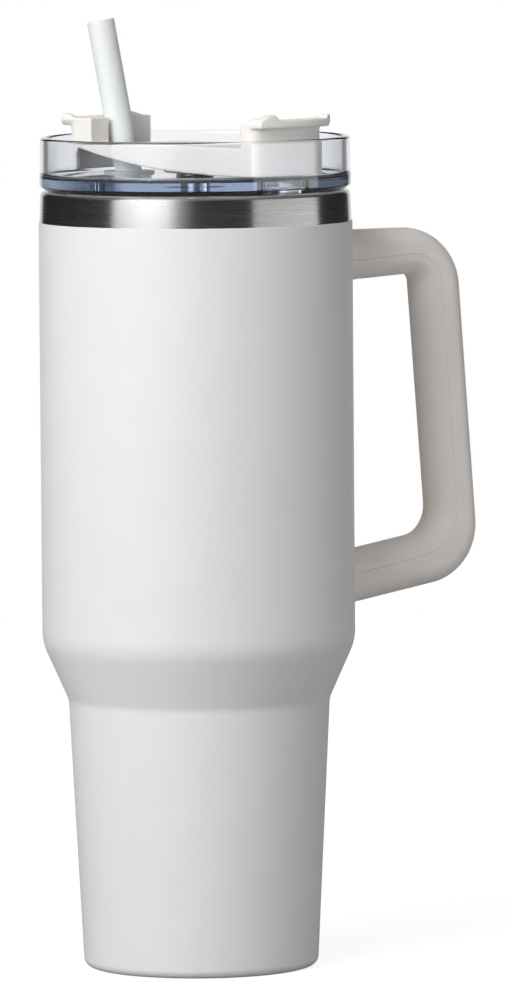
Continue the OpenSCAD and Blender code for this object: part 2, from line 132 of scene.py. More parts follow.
def linear(hex_colour):
    """A sRGB hex colour as linear red, green, blue and alpha."""
    parts = [int(hex_colour[k:k + 2], 16) / 255 for k in (1, 3, 5)]
    return [c / 12.92 if c < 0.04045 else ((c + 0.055) / 1.055) ** 2.4 for c in parts] + [1.0]


def add(tree, kind, settings=None, **sockets):
    """Adds a node. A socket, by name or as _number, takes a value or another node's output."""
    node = tree.nodes.new(kind)
    for name, value in (settings or {}).items():
        setattr(node, name, value)
    for name, value in sockets.items():
        key = int(name[1:]) if name[0] == "_" else name.replace("_", " ")
        if isinstance(value, bpy.types.NodeSocket):
            tree.links.new(value, node.inputs[key])
        else:
            node.inputs[key].default_value = value
    return node


def new_finish(name):
    """An empty material and its node tree."""
    material = bpy.data.materials.new(name)
    material.use_nodes = True
    material.node_tree.nodes.clear()
    return material, material.node_tree


def grain(tree, size_mm, detail=2.0, stretch=(1, 1, 1)):
    """Noise with grains of about size_mm, longer along an axis where stretch is over 1."""
    place = add(tree, "ShaderNodeTexCoord")
    scale = [1 / (size_mm * MM * s) for s in stretch]
    mapping = add(tree, "ShaderNodeMapping", Vector=place.outputs["Object"], Scale=scale)
    return add(tree, "ShaderNodeTexNoise", Vector=mapping.outputs["Vector"], Scale=1.0,
               Detail=detail).outputs["Fac"]


noise_span = {"From_Min": 0.3, "From_Max": 0.7}


def patterned(tree, tone, feel, colours, depth_mm, strength=1.0, **sockets):
    """A Principled surface: one pattern moves its colour and another raises its relief."""
    ramp = add(tree, "ShaderNodeValToRGB", Fac=tone)
    for stop, place, colour in zip(ramp.color_ramp.elements, noise_span.values(), colours):
        stop.position = place
        stop.color = linear(colour)
    bump = add(tree, "ShaderNodeBump", Height=feel, Distance=depth_mm * MM, Strength=strength)
    return add(tree, "ShaderNodeBsdfPrincipled", Base_Color=ramp.outputs["Color"],
               Normal=bump.outputs["Normal"], **sockets)


print("white paint in linear light:", [round(c, 3) for c in linear("#F2F2F2")[:3]])

# %% [markdown]
# ## Light
#
# The cup stands in a dark studio with a tall soft box in front to the left, a low white card
# to the right and a white ground far behind. The bare steel band is a mirror for all three, so
# their edges are what give it its bright and dark stripes.
#
# The lamp inside the soft box stands off its middle and high up, so the front is brightest there
# and soft at one side. The light's own nodes draw that across and up its face.

# %% Light
def light_card(name, turn, distance, width, low, high, radiance):
    """An upright light at turn degrees round from the camera, facing the cup's axis."""
    angle = math.radians(turn)
    place = in_camera_plan(distance * math.sin(angle), -distance * math.cos(angle), 0)
    data = bpy.data.lights.new(name, "AREA")
    data.shape = "RECTANGLE"
    data.size = width
    data.size_y = high - low
    data.energy = 4 * radiance * width * (high - low)
    card = bpy.data.objects.new(name, data)
    bpy.context.scene.collection.objects.link(card)
    card.rotation_euler = (-place).to_track_quat("-Z", "Y").to_euler()
    card.location = place + Vector((0, 0, (low + high) / 2))
    return data


soft_box = light_card("soft_box", turn=-32.75, distance=1.5, width=1.785, low=0.2, high=1.9,
                      radiance=5.4)
light_card("white_card", turn=72, distance=1.2, width=1.35, low=0.03, high=0.37, radiance=1.75)

soft_box.use_nodes = True
box_tree = soft_box.node_tree
box_tree.nodes.clear()
across_box = add(box_tree, "ShaderNodeSeparateXYZ",
                 Vector=add(box_tree, "ShaderNodeNewGeometry").outputs["Parametric"])
fade = add(box_tree, "ShaderNodeFloatCurve", Value=across_box.outputs["X"])
profile = fade.mapping.curves[0]
profile.points[0].location = (0.0, 0.6)
profile.points[1].location = (1.0, 0.02)
for place, level in ((0.26, 0.82), (0.41, 0.94), (0.66, 0.78), (0.82, 0.2)):
    profile.points.new(place, level)
fade.mapping.update()
foot = add(box_tree, "ShaderNodeMapRange", {"interpolation_type": "SMOOTHSTEP"},
           Value=across_box.outputs["Y"], From_Min=0.0, From_Max=0.35, To_Min=0.4, To_Max=1.0)
level = add(box_tree, "ShaderNodeMath", {"operation": "MULTIPLY"}, _0=fade.outputs["Value"],
            _1=foot.outputs["Result"])
panel = add(box_tree, "ShaderNodeEmission", Strength=level.outputs["Value"])
add(box_tree, "ShaderNodeOutputLight", Surface=panel.outputs["Emission"])

# %% [markdown]
# ## Surroundings
#
# A world could be a picture of a studio. Here a few nodes draw it: it is dark at the sides, white
# behind the cup and pale overhead. The camera itself sees plain white. What is seen through the
# clear lid gets a little light from all round, as a lid of this kind gathers it.

# %% Surroundings
world = bpy.data.worlds.new("studio")
bpy.context.scene.world = world
world.use_nodes = True
sky = world.node_tree
sky.nodes.clear()
away = in_camera_plan(0, 1, 0)
direction = add(sky, "ShaderNodeTexCoord").outputs["Generated"]
behind = add(sky, "ShaderNodeVectorMath", {"operation": "DOT_PRODUCT"}, _0=direction,
             _1=away).outputs["Value"]
ground_white = add(sky, "ShaderNodeMapRange", {"interpolation_type": "SMOOTHSTEP"}, Value=behind,
                   From_Min=0.9, From_Max=0.95, To_Min=0.035, To_Max=1.0).outputs["Result"]
rise = add(sky, "ShaderNodeSeparateXYZ", Vector=direction).outputs["Z"]
overhead = add(sky, "ShaderNodeMapRange", {"interpolation_type": "SMOOTHSTEP"}, Value=rise,
               From_Min=0.35, From_Max=0.95, To_Min=0.0, To_Max=0.45).outputs["Result"]
studio = add(sky, "ShaderNodeMath", {"operation": "MAXIMUM"}, _0=ground_white,
             _1=overhead).outputs["Value"]
rays = add(sky, "ShaderNodeLightPath")
inside_glass = add(sky, "ShaderNodeMath", {"operation": "MULTIPLY"},
                   _0=rays.outputs["Is Transmission Ray"], _1=0.3).outputs["Value"]
studio = add(sky, "ShaderNodeMath", {"operation": "MAXIMUM"}, _0=studio,
             _1=inside_glass).outputs["Value"]
shown = add(sky, "ShaderNodeMath", {"operation": "MAXIMUM"}, _0=studio,
            _1=rays.outputs["Is Camera Ray"]).outputs["Value"]
ground = add(sky, "ShaderNodeBackground", Color=linear("#FFFFFF"), Strength=shown)
add(sky, "ShaderNodeOutputWorld", Surface=ground.outputs["Background"])
bpy.context.scene.view_settings.view_transform = "Standard"
print("white is behind, towards", [round(c, 2) for c in away])

# %% [markdown]
# ## Floor
#
# The table is a white acrylic sheet lit from below, so that it nearly vanishes into the ground
# and keeps only a faint shadow at the foot. It is a flat disc: its glow is for the camera alone,
# and to every other ray it is a plain pale surface.

# %% Floor
floor_r = 1.2
floor_finish, tree = new_finish("white acrylic table")
rays = add(tree, "ShaderNodeLightPath")
seen = add(tree, "ShaderNodeMath", {"operation": "MAXIMUM"}, _0=rays.outputs["Is Camera Ray"],
           _1=rays.outputs["Is Transmission Ray"]).outputs["Value"]
glow_level = add(tree, "ShaderNodeMath", {"operation": "MULTIPLY"}, _0=seen, _1=0.85)
glow = add(tree, "ShaderNodeEmission", Color=linear("#FFFFFF"),
           Strength=glow_level.outputs["Value"])
pale = add(tree, "ShaderNodeBsdfDiffuse", Color=linear("#A0A0A0"))
both = add(tree, "ShaderNodeAddShader", _0=glow.outputs["Emission"], _1=pale.outputs["BSDF"])
add(tree, "ShaderNodeOutputMaterial", Surface=both.outputs["Shader"])
floor_mesh = bpy.data.meshes.new("floor")
disc = bmesh.new()
bmesh.ops.create_circle(disc, cap_ends=True, segments=96, radius=floor_r)
disc.to_mesh(floor_mesh)
disc.free()
floor = bpy.data.objects.new("floor", floor_mesh)
bpy.context.scene.collection.objects.link(floor)
floor_mesh.materials.append(floor_finish)
print("floor", 2 * floor_r, "m across")

# %% [markdown]
# ## Powder coat
#
# Polyester powder is sprayed dry on the steel and baked until it flows. It stays a little
# lumpy, which painters call orange peel, and its sheen is low and even. The peel is drawn as a
# fine bump, and at 0.9 mm it is about twice as coarse as the real one so that it shows.

# %% Powder coat
peel_mm, cloud_mm = 0.9, 14
powder, tree = new_finish("powder coat, warm white")
peel = grain(tree, peel_mm, 1.0)
sheen = add(tree, "ShaderNodeMapRange", Value=peel, To_Min=0.5, To_Max=0.56, **noise_span)
surface = patterned(tree, grain(tree, cloud_mm), peel, ("#ECEAE9", "#EEECEB"), 0.012, 0.5,
                    Roughness=sheen.outputs["Result"], IOR=1.5)
add(tree, "ShaderNodeOutputMaterial", Surface=surface.outputs["BSDF"])
print("orange peel", peel_mm, "mm")

# %% [markdown]
# ## Brushed steel
#
# The band is polished 18/8 stainless, brushed while the cup spins, so the scratches run round
# it. Light is then blurred up and down and stays sharp round the cup. An anisotropic metal
# does this when its tangent runs round the axis: that is the axis crossed with the place of
# the point. The blur is turned a quarter, across the scratches, which fine noise draws.

# %% Brushed steel


def steel_finish(name, colour, rough, streak_mm, depth_mm, along, anisotropy):
    """Stainless whose scratches run round the axis, each along times longer than it is wide."""
    material, tree = new_finish(name)
    scratch = grain(tree, streak_mm, 3.0, (along, along, 1))
    sheen = add(tree, "ShaderNodeMapRange", Value=scratch, To_Min=rough * 0.9,
                To_Max=rough * 1.15, **noise_span)
    bump = add(tree, "ShaderNodeBump", Height=scratch, Distance=depth_mm * MM, Strength=1.0)
    place = add(tree, "ShaderNodeTexCoord").outputs["Object"]
    tangent = add(tree, "ShaderNodeVectorMath", {"operation": "CROSS_PRODUCT"}, _0=(0, 0, 1),
                  _1=place)
    surface = add(tree, "ShaderNodeBsdfPrincipled", Base_Color=linear(colour), Metallic=1.0,
                  Roughness=sheen.outputs["Result"], Normal=bump.outputs["Normal"],
                  Anisotropic=anisotropy, Anisotropic_Rotation=0.25,
                  Tangent=tangent.outputs["Vector"])
    add(tree, "ShaderNodeOutputMaterial", Surface=surface.outputs["BSDF"])
    return material


brushed = steel_finish("brushed stainless, round the cup", "#A6A6A6", rough=0.26, streak_mm=0.4,
                       depth_mm=0.0014, along=60, anisotropy=0.9)
drawn = steel_finish("drawn stainless, electropolished", "#C8C8CA", rough=0.3, streak_mm=1.2,
                     depth_mm=0.002, along=25, anisotropy=0.4)
spun = steel_finish("spun stainless base", "#CDCDCF", rough=0.32, streak_mm=0.6,
                    depth_mm=0.002, along=30, anisotropy=0.6)
fastener = steel_finish("plain stainless fasteners", "#CFCFD2", rough=0.28, streak_mm=0.3,
                        depth_mm=0.001, along=3, anisotropy=0.0)
print("steel finishes: 4")

# %% [markdown]
# ## Inside the wall
#
# Between the walls are a copper foil that turns heat back, a pressed getter pill that takes up
# the last gas, and the bead of sealing glass that closes the pumping hole. Nobody sees them,
# and each still gets what it is made of, because the model can be opened.

# %% Inside the wall


def one_grain(name, size_mm, detail, colours, depth_mm, **sockets):
    """A finish whose colour and relief follow the same grain."""
    material, tree = new_finish(name)
    speck = grain(tree, size_mm, detail)
    surface = patterned(tree, speck, speck, colours, depth_mm, **sockets)
    add(tree, "ShaderNodeOutputMaterial", Surface=surface.outputs["BSDF"])
    return material


copper = one_grain("bright copper foil", 4, 3.0, ("#D98B63", "#E7A37C"), 0.08, Metallic=1.0,
                   Roughness=0.2)
pill = one_grain("pressed getter powder", 0.4, 4.0, ("#2E2D2C", "#57534F"), 0.06, Roughness=0.85)
bead = one_grain("sealing glass bead", 1.5, 2.0, ("#3B3D3A", "#4C4F4B"), 0.05, Roughness=0.12,
                 IOR=1.6)
print("hidden finishes: 3")

# %% [markdown]
# ## Moulded plastics
#
# The handle and the cover are injection-moulded polypropylene, tinted warm grey and cream. Its
# tool is lightly blasted, so the surface is satin with a very fine texture, and a little light
# goes in and comes out again, which softens thin edges.

# %% Moulded plastics
flow_mm = 18


def moulded(name, colours, rough, spark_mm, depth_mm, glow_mm):
    """Satin polypropylene with a blasted texture of spark_mm."""
    material, tree = new_finish(name)
    texture = grain(tree, spark_mm, 2.0)
    sheen = add(tree, "ShaderNodeMapRange", Value=texture, To_Min=rough - 0.03,
                To_Max=rough + 0.03, **noise_span)
    surface = patterned(tree, grain(tree, flow_mm, 1.0), texture, colours, depth_mm,
                        Roughness=sheen.outputs["Result"], IOR=1.49, Subsurface_Weight=0.12,
                        Subsurface_Scale=glow_mm * MM)
    add(tree, "ShaderNodeOutputMaterial", Surface=surface.outputs["BSDF"])
    return material


grip_plastic = moulded("satin polypropylene, warm grey", ("#F6EFE9", "#F9F3EE"), rough=0.45,
                       spark_mm=0.7, depth_mm=0.006, glow_mm=1)
cover_plastic = moulded("satin polypropylene, cream", ("#F6F2EC", "#F9F6F1"), rough=0.38,
                        spark_mm=0.6, depth_mm=0.004, glow_mm=2)
print("moulded plastics: 2")

# %% [markdown]
# ## Clear and milky plastics
#
# The lid is polished copolyester, clear with a faint blue cast that shows where one looks
# along a wall. The straw is frosted polypropylene and the seals are milky silicone. Lamps
# reach through glass only by chance paths, so each clear finish lets shadow and diffuse rays
# pass with its tint, and keeps true refraction for what the eye follows.

# %% Clear and milky plastics


def see_through(name, colour, rough, ior, wave_mm, lamp_tint, deep_tint, deep_per_m):
    """Refracting plastic that lets lamps through, and takes deep_tint over a long way in it."""
    material, tree = new_finish(name)
    wave = grain(tree, wave_mm, 1.0)
    sheen = add(tree, "ShaderNodeMapRange", Value=wave, To_Min=rough, To_Max=rough * 1.4,
                **noise_span)
    bump = add(tree, "ShaderNodeBump", Height=wave, Distance=0.006 * MM, Strength=1.0)
    glass = add(tree, "ShaderNodeBsdfPrincipled", Base_Color=linear(colour), IOR=ior,
                Roughness=sheen.outputs["Result"], Normal=bump.outputs["Normal"],
                Transmission_Weight=1.0)
    open_way = add(tree, "ShaderNodeBsdfTransparent", Color=linear(lamp_tint))
    rays = add(tree, "ShaderNodeLightPath")
    lamp = add(tree, "ShaderNodeMath", {"operation": "MAXIMUM"}, _0=rays.outputs["Is Shadow Ray"],
               _1=rays.outputs["Is Diffuse Ray"])
    mixed = add(tree, "ShaderNodeMixShader", _0=lamp.outputs["Value"], _1=glass.outputs["BSDF"],
                _2=open_way.outputs["BSDF"])
    depth = add(tree, "ShaderNodeVolumeAbsorption", Color=linear(deep_tint), Density=deep_per_m)
    add(tree, "ShaderNodeOutputMaterial", Surface=mixed.outputs["Shader"],
        Volume=depth.outputs["Volume"])
    return material


def milky(name, colours, rough, through, cloud_mm):
    """Frosted plastic: part of the light goes through and is scattered."""
    material, tree = new_finish(name)
    cloud = grain(tree, cloud_mm, 2.0)
    sheen = add(tree, "ShaderNodeMapRange", Value=cloud, To_Min=rough - 0.04,
                To_Max=rough + 0.04, **noise_span)
    surface = patterned(tree, cloud, cloud, colours, 0.01, Roughness=sheen.outputs["Result"],
                        IOR=1.42, Transmission_Weight=through, Subsurface_Weight=0.3,
                        Subsurface_Scale=2 * MM)
    add(tree, "ShaderNodeOutputMaterial", Surface=surface.outputs["BSDF"])
    return material


clear_lid = see_through("clear copolyester", "#FCFDFF", rough=0.012, ior=1.54, wave_mm=9,
                        lamp_tint="#FCFDFF", deep_tint="#BCCCE2", deep_per_m=24.0)
silicone = milky("milky silicone", ("#DADBDB", "#E6E7E7"), rough=0.5, through=0.25, cloud_mm=2)
frosted = milky("frosted polypropylene", ("#FAFBFC", "#FFFFFF"), rough=0.5, through=0.15,
                cloud_mm=1.2)
black_rubber = one_grain("black nitrile rubber", 0.3, 3.0, ("#161616", "#202020"), 0.01,
                         Roughness=0.6)
print("clear and soft finishes: 4")

# %% [markdown]
# ## A turned part
#
# Spun cups, flanges, rings and seals are all bodies of revolution. They could be made with the
# Screw modifier or with Spin, and both leave a seam to close. Here one Geometry Nodes tree
# sweeps the outline round a wheel of known radius and merges the seam, so every turned piece
# shares one rule. The outline is drawn a wheel's radius inside the axis.

# %% A turned part
wheel_r = 1.0
turned_steps = 256
seam_mm = 0.002


def turned_tree():
    """Outline in, body of revolution out."""
    tree = bpy.data.node_groups.new("turned_part", "GeometryNodeTree")
    sockets = tree.interface
    sockets.new_socket(name="Outline", in_out="INPUT", socket_type="NodeSocketGeometry")
    sockets.new_socket(name="Steps", in_out="INPUT", socket_type="NodeSocketInt")
    sockets.new_socket(name="Wheel radius", in_out="INPUT", socket_type="NodeSocketFloat")
    sockets.new_socket(name="Finish", in_out="INPUT", socket_type="NodeSocketMaterial")
    sockets.new_socket(name="Part", in_out="OUTPUT", socket_type="NodeSocketGeometry")
    given = add(tree, "NodeGroupInput")
    outline = add(tree, "GeometryNodeMeshToCurve", Mesh=given.outputs["Outline"])
    wheel = add(tree, "GeometryNodeCurvePrimitiveCircle", Resolution=given.outputs["Steps"],
                Radius=given.outputs["Wheel radius"])
    swept = add(tree, "GeometryNodeCurveToMesh", Curve=wheel.outputs["Curve"],
                Profile_Curve=outline.outputs["Curve"])
    closed = add(tree, "GeometryNodeMergeByDistance", Geometry=swept.outputs["Mesh"],
                 Distance=seam_mm * MM)
    real = add(tree, "GeometryNodeRealizeInstances", Geometry=closed.outputs["Geometry"])
    finished = add(tree, "GeometryNodeSetMaterial", Geometry=real.outputs["Geometry"],
                   Material=given.outputs["Finish"])
    add(tree, "NodeGroupOutput", _0=finished.outputs["Geometry"])
    return tree


turning = turned_tree()
print("turned parts have", turned_steps, "steps")

# %% [markdown]
# ## From a tree to a plain mesh
#
# A Geometry Nodes modifier could stay live on each piece, but the frame wants plain meshes. So a
# tree is evaluated once on its outline, the result is kept as a mesh and the outline goes. Its
# faces are then turned outwards, and only real edges stay sharp.

# %% From a tree to a plain mesh


def grown(source, tree, name, **inputs):
    """Evaluates a tree on a source mesh and returns a plain object that holds the result."""
    holder = bpy.data.objects.new(name + "_source", source)
    bpy.context.scene.collection.objects.link(holder)
    modifier = holder.modifiers.new("nodes", "NODES")
    modifier.node_group = tree
    for item in tree.interface.items_tree:
        key = item.name.replace(" ", "_")
        if item.in_out == "INPUT" and key in inputs:
            modifier[item.identifier] = inputs[key]
    evaluated = holder.evaluated_get(bpy.context.evaluated_depsgraph_get())
    mesh = bpy.data.meshes.new_from_object(evaluated)
    bpy.data.objects.remove(holder)
    mesh.name = name
    piece = bpy.data.objects.new(name, mesh)
    bpy.context.scene.collection.objects.link(piece)
    return piece


def settle(piece, crease=32, weld=0.0):
    """Turns every face outwards and shades it smooth but for edges sharper than crease."""
    shape = bmesh.new()
    shape.from_mesh(piece.data)
    if weld:
        bmesh.ops.remove_doubles(shape, verts=shape.verts, dist=weld)
    bmesh.ops.recalc_face_normals(shape, faces=shape.faces)
    shape.to_mesh(piece.data)
    shape.free()
    piece.data.shade_smooth()
    piece.data.set_sharp_from_angle(angle=math.radians(crease))
    return piece


def turned(name, outline, finish, crease=32):
    """A turned piece from an outline of (r, z) points in millimetres."""
    places = [(p[0] * MM - wheel_r, -p[1] * MM, 0) for p in outline]
    count = len(places)
    source = bpy.data.meshes.new(name + "_outline")
    source.from_pydata(places, [(k, (k + 1) % count) for k in range(count)], [])
    piece = grown(source, turning, name, Steps=turned_steps, Wheel_radius=wheel_r, Finish=finish)
    return settle(piece, crease, 2 * seam_mm * MM)


def stands_for(piece, body, slot, *cad_nodes):
    """The piece rides on its body and stands for its nodes. The slot is not used."""
    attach(piece, body)
    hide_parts(*cad_nodes)
    print(f"{piece.name}: {len(piece.data.polygons)} faces on {body}")


print("ready to turn and settle pieces")

# %% [markdown]
# ## Outlines
#
# Nearly every edge of a real part is rounded, by its mould, its roll or a polishing wheel. So an
# outline lists only its corners, each with a radius, and one function puts the arcs in.
#
# A smooth-shaded wall that ends in a small arc takes up some of the arc's tilt over its whole
# length. On steel nobody sees it, but a clear wall then bends what is behind it. A point close
# to both ends of each long side keeps the wall's normal true.

# %% Outlines


def rounded(points, closed=False, steps=6):
    """An outline with its corners rounded. A point is (r, z) or (r, z, radius)."""
    result = []
    count = len(points)
    for k, point in enumerate(points):
        radius = point[2] if len(point) > 2 else 0
        here = Vector(point[:2])
        if not radius or (not closed and k in (0, count - 1)):
            result.append(here)
            continue
        back = (Vector(points[k - 1][:2]) - here).normalized()
        on = (Vector(points[(k + 1) % count][:2]) - here).normalized()
        half = math.acos(max(-1.0, min(1.0, back.dot(on)))) / 2
        middle = here + (back + on).normalized() * (radius / math.sin(half))
        start = here + back * (radius / math.tan(half)) - middle
        sweep = math.pi - 2 * half
        side = -1 if back.cross(on) > 0 else 1
        for step in range(steps + 1):
            turn = Matrix.Rotation(side * sweep * step / steps, 2)
            result.append(middle + turn @ start)
    return result


def held(outline, hold=0.04, longest=1.2):
    """The outline with a point close to both ends of each side over the longest one allowed."""
    result = []
    for k, here in enumerate(outline):
        result.append(here)
        on = outline[(k + 1) % len(outline)]
        if (on - here).length > longest:
            step = (on - here).normalized() * hold
            result += [here + step, on - step]
    return result


square = rounded([(0, 0, 0.2), (1, 0, 0.2), (1, 1, 0.2), (0, 1, 0.2)], closed=True)
print("a unit square with rounded corners has", len(square), "points")

# %% [markdown]
# ## Outer wall and coat
#
# The outer wall is a drawn tube that was swaged in below, so that it fits a car's cup holder,
# with a soft fillet at the neck and a wide one at the shoulder. The coat follows it a quarter
# of a millimetre outside and stops at the bare band.

# %% Outer wall and coat
neck_z, shoulder_z = 85.9, 104.4
base_r, neck_r, stand_r = 37.45, 41.75, 33.05
base_bend, neck_bend, shoulder_bend = 3, 7, 17
coat_t, sheet_t = 0.25, 0.6
roll_in, roll_down, roll_bend = 0.4, 0.6, 0.3
rim_r = shell_r - 0.35
weld_r = rim_r - sheet_t
coat_edge, coat_edge_down, coat_lap = 0.1, 0.12, 0.02


def cup_outline(inset, top):
    """The cup's outside, moved in by inset, from the standing ring up to the top."""
    foot_z = max(0.0, inset - coat_t)
    return [(stand_r, foot_z), (base_r - inset, foot_z, base_bend - inset),
            (neck_r - inset, neck_z, neck_bend + inset),
            (cup_r - inset, shoulder_z, shoulder_bend - inset), (cup_r - inset, top)]


shell_rim = [(rim_r, rim_z - roll_down, roll_bend), (rim_r - roll_in, rim_z)]
shell_face = rounded(cup_outline(coat_t, coat_top) + shell_rim, steps=12)
shell_back = rounded(cup_outline(coat_t + sheet_t, coat_top) + [(weld_r, rim_z)], steps=12)
shell = turned("outer_wall", shell_face + shell_back[::-1], brushed)
stands_for(shell, "cup", "steel", "outer_shell")

coat_rim = [(cup_r - coat_edge, coat_top)]
coat_face = rounded(cup_outline(0, coat_top - coat_edge_down) + coat_rim, steps=16)
coat_back = rounded(cup_outline(coat_t - coat_lap, coat_top), steps=16)
coat = turned("coat", coat_face + coat_back[::-1], powder)
stands_for(coat, "cup", "coat", "powder_coat")

# %% [markdown]
# ## Liner
#
# The liner holds the drink. It is deep drawn from one sheet, follows the outer wall in parallel
# and flares out at the top, where it is welded to the outer wall's rolled rim.

# %% Liner
wall_gap = 4.4
liner_r = cup_r - wall_gap
liner_floor = low_high("inner_liner")[0] + sheet_t
liner_base_r, liner_neck_r = base_r - wall_gap + 0.35, neck_r - wall_gap
liner_neck_z, liner_shoulder_z = neck_z + 1.8, shoulder_z + 1.8
flare_r, flare_z = liner_r + 0.8, rim_z - 1.2
liner_face = rounded([
    (0, liner_floor), (liner_base_r, liner_floor, 6), (liner_neck_r, liner_neck_z, 11),
    (liner_r, liner_shoulder_z, 13), (liner_r, flare_z), (flare_r, rim_z)], steps=12)
liner_back = rounded([
    (0, liner_floor - sheet_t), (liner_base_r + 0.55, liner_floor - sheet_t, 6.5),
    (liner_neck_r + sheet_t, liner_neck_z - 0.1, 10.5),
    (liner_r + sheet_t, liner_shoulder_z - 0.1, 13), (liner_r + sheet_t, flare_z + 0.2),
    (weld_r, rim_z - sheet_t)], steps=12)
liner = turned("liner", liner_face + [Vector((weld_r, rim_z))] + liner_back[::-1], drawn)
stands_for(liner, "cup", "steel_inside", "inner_liner")

# %% [markdown]
# ## Base
#
# The bottom is a pressed plate set in the standing ring, and a thin spun cover hides the pump
# hole and its glass bead. Its edge is rolled, and faint rings are left by the spinning tool.

# %% Base
recess_z, plate_top = 2.4, low_high("base_plate")[1]
foot_z = 0.1
plate_in_r = stand_r - sheet_t
plate = turned("base_dish", rounded([
    (1, recess_z), (plate_in_r, recess_z, 0.3), (plate_in_r, foot_z, 0.1),
    (stand_r, foot_z, 0.1), (stand_r, plate_top, 0.4), (1, plate_top)]), spun)
stands_for(plate, "cup", "steel", "base_plate")

disc_r = radius_of("base_cap")
disc_low, disc_high = low_high("base_cap")
ring_count, ring_half, ring_deep, disc_rise = 5, 0.8, 0.15, 0.3
dished_z = disc_low + disc_rise
disc_outline = [(0, dished_z)]
for k in range(ring_count):
    ring_at = disc_r * (k + 1) / (ring_count + 2)
    disc_outline += [(ring_at - ring_half, dished_z), (ring_at, dished_z - ring_deep),
                     (ring_at + ring_half, dished_z)]
disc_outline += [(disc_r - 3, dished_z), (disc_r - 2, disc_low), (disc_r, disc_low, 0.4),
                 (disc_r, disc_high, 0.3), (0, disc_high)]
base_cover = turned("base_cover", rounded(disc_outline), spun, 50)
stands_for(base_cover, "cup", "steel_base", "base_cap")

# %% [markdown]
# ## Handle
#
# The handle is two moulded channels that close over steel brackets. Its outer half has a deep
# crown that falls smoothly to the sides, and its inner half has a shallow crown that meets the
# sides at a crisp edge. The two edges of the loop, outer and inner, aren't parallel, so a curve
# with a fixed bevel can't draw it. A loft can: each ring is laid between a point of the outer
# edge and a point of the inner edge, and its shape across is always the same.

# %% Edges of the handle
half_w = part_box("handle_cover")[1].y / MM
reach, reach_z = 102.6, 136.0
splay, bar_rise = 0.0743, 0.165
grip_t, grip_wall = 16.6, 2.4
end_r = cup_r + 0.05
top_z, top_in_z = 234.0, 217.3
top_in_rise, top_in_x, top_in_drop = 0.06, 30, 16
low_z, low_in_z = 112.6, 130.0
low_in_x, low_in_shift = 35, 0.6
low_corner_z = low_z + bar_rise * (reach - end_r)
outer_edge = [(0, top_z), (reach - splay * (top_z - reach_z), top_z, 20),
              (reach + splay * (reach_z - low_corner_z), low_corner_z, 19),
              (0, low_z - bar_rise * end_r)]
top_in_corner = (reach - grip_t - splay * (top_z - reach_z - top_in_drop),
                 top_in_z + top_in_rise * top_in_x, 3)
low_in_corner = (reach - grip_t + low_in_shift, low_in_z + bar_rise * low_in_x, 9.5)
inner_edge = [(0, top_in_z - top_in_rise * end_r), top_in_corner, low_in_corner,
              (0, low_in_z - bar_rise * end_r)]


def at_reach(first, second, x):
    """The point of a line at that reach."""
    return first.lerp(second, (x - first.x) / (second.x - first.x))


def edge_path(edge, corner_steps=20, bar_steps=10, grip_steps=30):
    """Points along an edge: the top bar, a corner, the grip, a corner and the low bar."""
    turns = rounded(edge, steps=corner_steps)
    first, last = turns[1:corner_steps + 2], turns[corner_steps + 2:-1]
    start = at_reach(turns[0], first[0], end_r)
    end = at_reach(last[-1], turns[-1], end_r)
    path = [start.lerp(first[0], k / bar_steps) for k in range(bar_steps)] + first
    path += [first[-1].lerp(last[0], k / grip_steps) for k in range(1, grip_steps)] + last
    return path + [last[-1].lerp(end, k / bar_steps) for k in range(1, bar_steps + 1)]


print("points along each edge:", len(edge_path(outer_edge)), len(edge_path(inner_edge)))

# %% [markdown]
# ## Across the handle
#
# The shape across is given as points with a place across the handle and a depth, measured from
# the outer edge or from the inner one. A full half ellipse crowns the outside, and a shallow arc
# crowns the side that the fingers touch.

# %% Across the handle
crown_out, crown_in, part_line = 6.5, 4.2, 6.8


def crown_half(depth, width, steps=16):
    """Half ellipse across the outer half: (across, depth from the outer edge)."""
    turns = [math.pi * (k / steps - 0.5) for k in range(steps + 1)]
    return [(width * math.sin(t), crown_out - depth * math.cos(t), "outer") for t in turns]


def shallow_crown(width, sag, lift, steps=16):
    """Arc across the inner half: (across, depth from the inner edge)."""
    radius = (width * width + sag * sag) / (2 * sag)
    turn = math.asin(width / radius)
    turns = [turn * (2 * k / steps - 1) for k in range(steps + 1)]
    return [(radius * math.sin(t), lift + radius - radius * math.cos(t), "inner") for t in turns]


print(f"handle {2 * half_w:.1f} mm wide, crowned {crown_out} mm outside and {crown_in} mm inside")

# %% [markdown]
# ## Loft
#
# The same section is laid on every pair of edge points, and faces join one ring to the next. The
# first and last rings are bent onto the cup's wall and closed between the channel's two skins.

# %% Loft


def loft(name, section, finish):
    """A closed channel: the section is laid on every pair of edge points."""
    outer, inner = edge_path(outer_edge), edge_path(inner_edge)
    count, wide = len(outer), len(section)
    places = []
    for k, (out_point, in_point) in enumerate(zip(outer, inner)):
        inward = (in_point - out_point).normalized()
        for across, depth, side in section:
            point = out_point + inward * depth if side == "outer" else in_point - inward * depth
            x = math.sqrt(end_r ** 2 - across ** 2) if k in (0, count - 1) else point.x
            places.append((x * MM, across * MM, point.y * MM))
    faces = [(a * wide + b, a * wide + (b + 1) % wide, (a + 1) * wide + (b + 1) % wide,
              (a + 1) * wide + b) for a in range(count - 1) for b in range(wide)]
    half = wide // 2
    for ring in (0, count - 1):
        faces += [(ring * wide + b, ring * wide + b + 1, ring * wide + wide - 2 - b,
                   ring * wide + wide - 1 - b) for b in range(half - 1)]
    mesh = bpy.data.meshes.new(name)
    mesh.from_pydata(places, [], faces)
    mesh.materials.append(finish)
    piece = bpy.data.objects.new(name, mesh)
    bpy.context.scene.collection.objects.link(piece)
    return settle(piece, 40)


print("a loft of the handle has", len(edge_path(outer_edge)), "rings")

